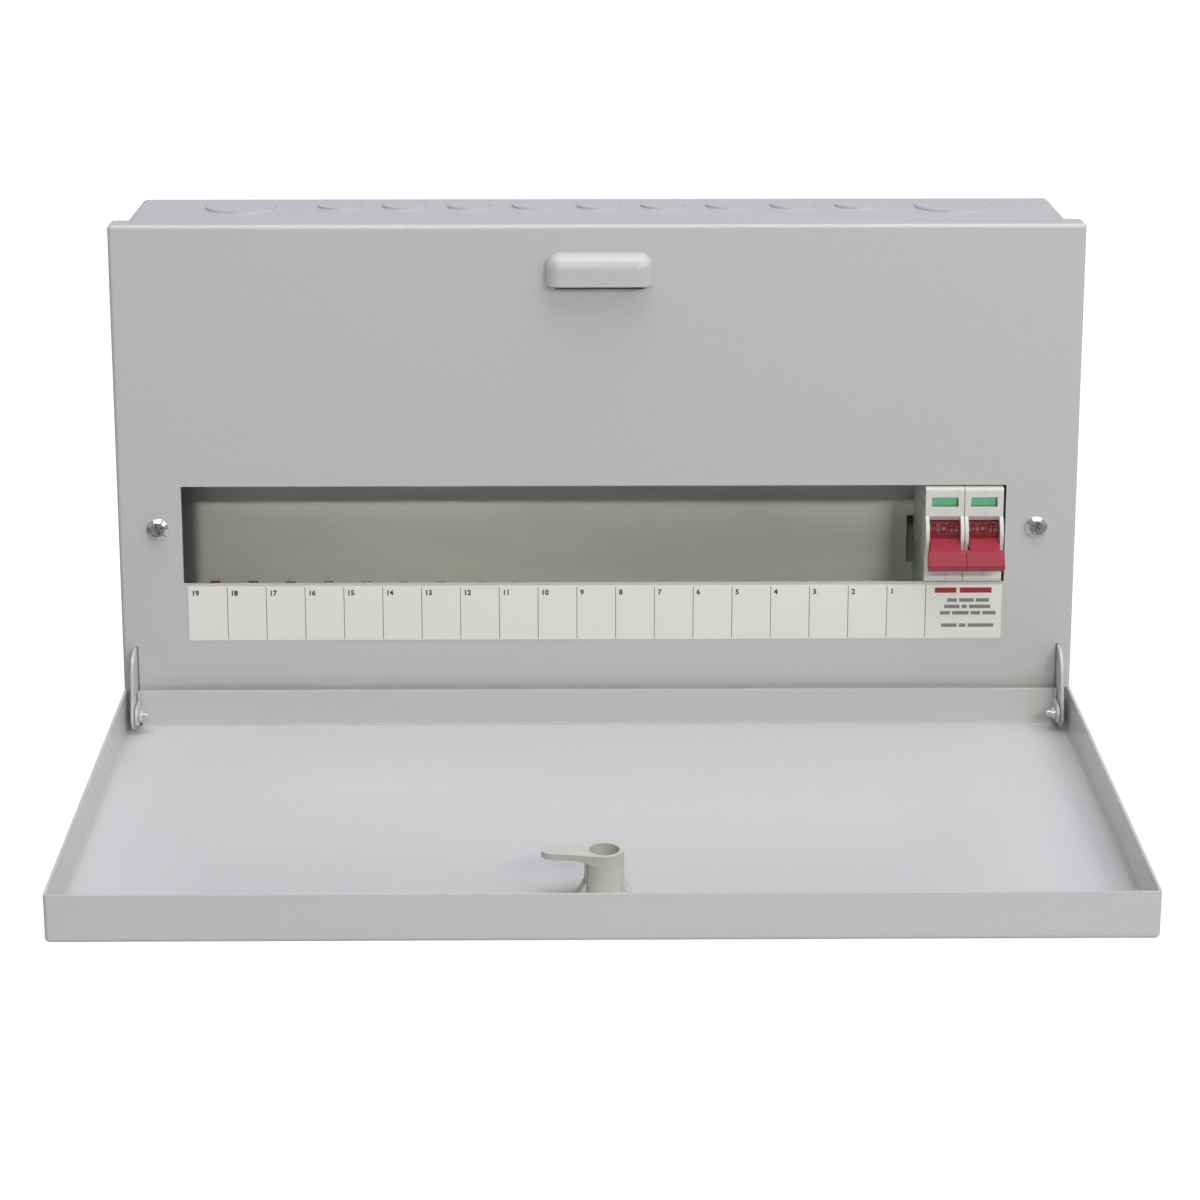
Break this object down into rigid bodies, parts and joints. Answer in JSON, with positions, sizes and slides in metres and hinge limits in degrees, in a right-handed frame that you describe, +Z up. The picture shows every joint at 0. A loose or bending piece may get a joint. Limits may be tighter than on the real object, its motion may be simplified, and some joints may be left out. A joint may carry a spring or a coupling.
{
  "type": "breaker panel box",
  "caption": "Steel breaker panel with a flanged front cover, drop-down latched door, breaker window, two-pole main switch, busbar comb and terminal bars.",
  "frame": {"origin": "middle of the bottom edge of the cabinet's back, on the wall plane and at floor level", "axes": "+X to the cabinet's right seen from in front, +Y into the wall, +Z up"},
  "size_m": [0.442, 0.3187, 0.2431],
  "materials": {
    "box_paint": "satin textured powder coat",
    "cover_paint": "satin textured powder coat",
    "door_paint": "satin textured powder coat",
    "zinc": "bright zinc plate",
    "label": "matte printed",
    "carrier": "satin",
    "switch_case": "matte",
    "clip_plastic": "matte",
    "brass": "plain",
    "toggle_red": "satin",
    "flag_green": "satin",
    "flag_red": "satin",
    "copper": "plain copper",
    "shroud": "matte",
    "holder_blue": "matte",
    "sleeve_blue": "gloss",
    "latch_plastic": "satin"
  },
  "bodies": {
    "cabinet": {"back_box": "box_paint", "front_cover": "cover_paint", "cover_brackets": "box_paint", "cover_screws": "zinc", "label_strip": "label", "carrier_plate": "carrier", "carrier_screws": "zinc", "switch_pole_left": "switch_case", "switch_pole_right": "switch_case", "switch_clips": "clip_plastic", "switch_clamps": "brass", "switch_screws": "zinc", "switch_rivets": "zinc", "busbar": "copper", "busbar_shroud": "shroud", "neutral_bar": "brass", "neutral_holders": "holder_blue", "neutral_screws": "zinc", "earth_bar": "brass", "earth_posts": "brass", "earth_screws": "zinc", "link_sleeve": "sleeve_blue", "link_core": "copper", "hinge_arms": "cover_paint", "pivot_bolts": "zinc", "pivot_nuts": "zinc"},
    "door_leaf": {"door": "door_paint", "hinge_ears": "door_paint", "latch_bush": "latch_plastic"},
    "latch": {"latch_barrel": "latch_plastic", "latch_head": "latch_plastic"},
    "switch_toggle": {"toggle": "toggle_red", "toggle_pin": "zinc"},
    "contact_flags": {"flag_shaft": "switch_case", "flags_green": "flag_green", "flags_red": "flag_red"}
  },
  "joints": [
    {"name": "door_hinge", "type": "hinge", "parent": "cabinet", "child": "door_leaf", "pos_m": [0, -0.0922, 0.01517], "axis": [-1, 0, 0], "range_deg": [0, 91.5]},
    {"name": "latch_turn", "type": "hinge", "parent": "door_leaf", "child": "latch", "pos_m": [0.0008, -0.27746, 0.01102], "axis": [0, -0.0262, 0.9997], "range_deg": [0, 90]},
    {"name": "main_switch", "type": "hinge", "parent": "cabinet", "child": "switch_toggle", "pos_m": [0.169, -0.073, 0.098], "axis": [-1, 0, 0], "range_deg": [0, 54]},
    {"name": "flag_turn", "type": "hinge", "parent": "cabinet", "child": "contact_flags", "pos_m": [0.169, -0.075, 0.1137], "axis": [-1, 0, 0], "range_deg": [0, 90]}
  ],
  "couplings": [
    {"joint": "flag_turn", "follows": "main_switch", "ratio": 1.6666}
  ]
}
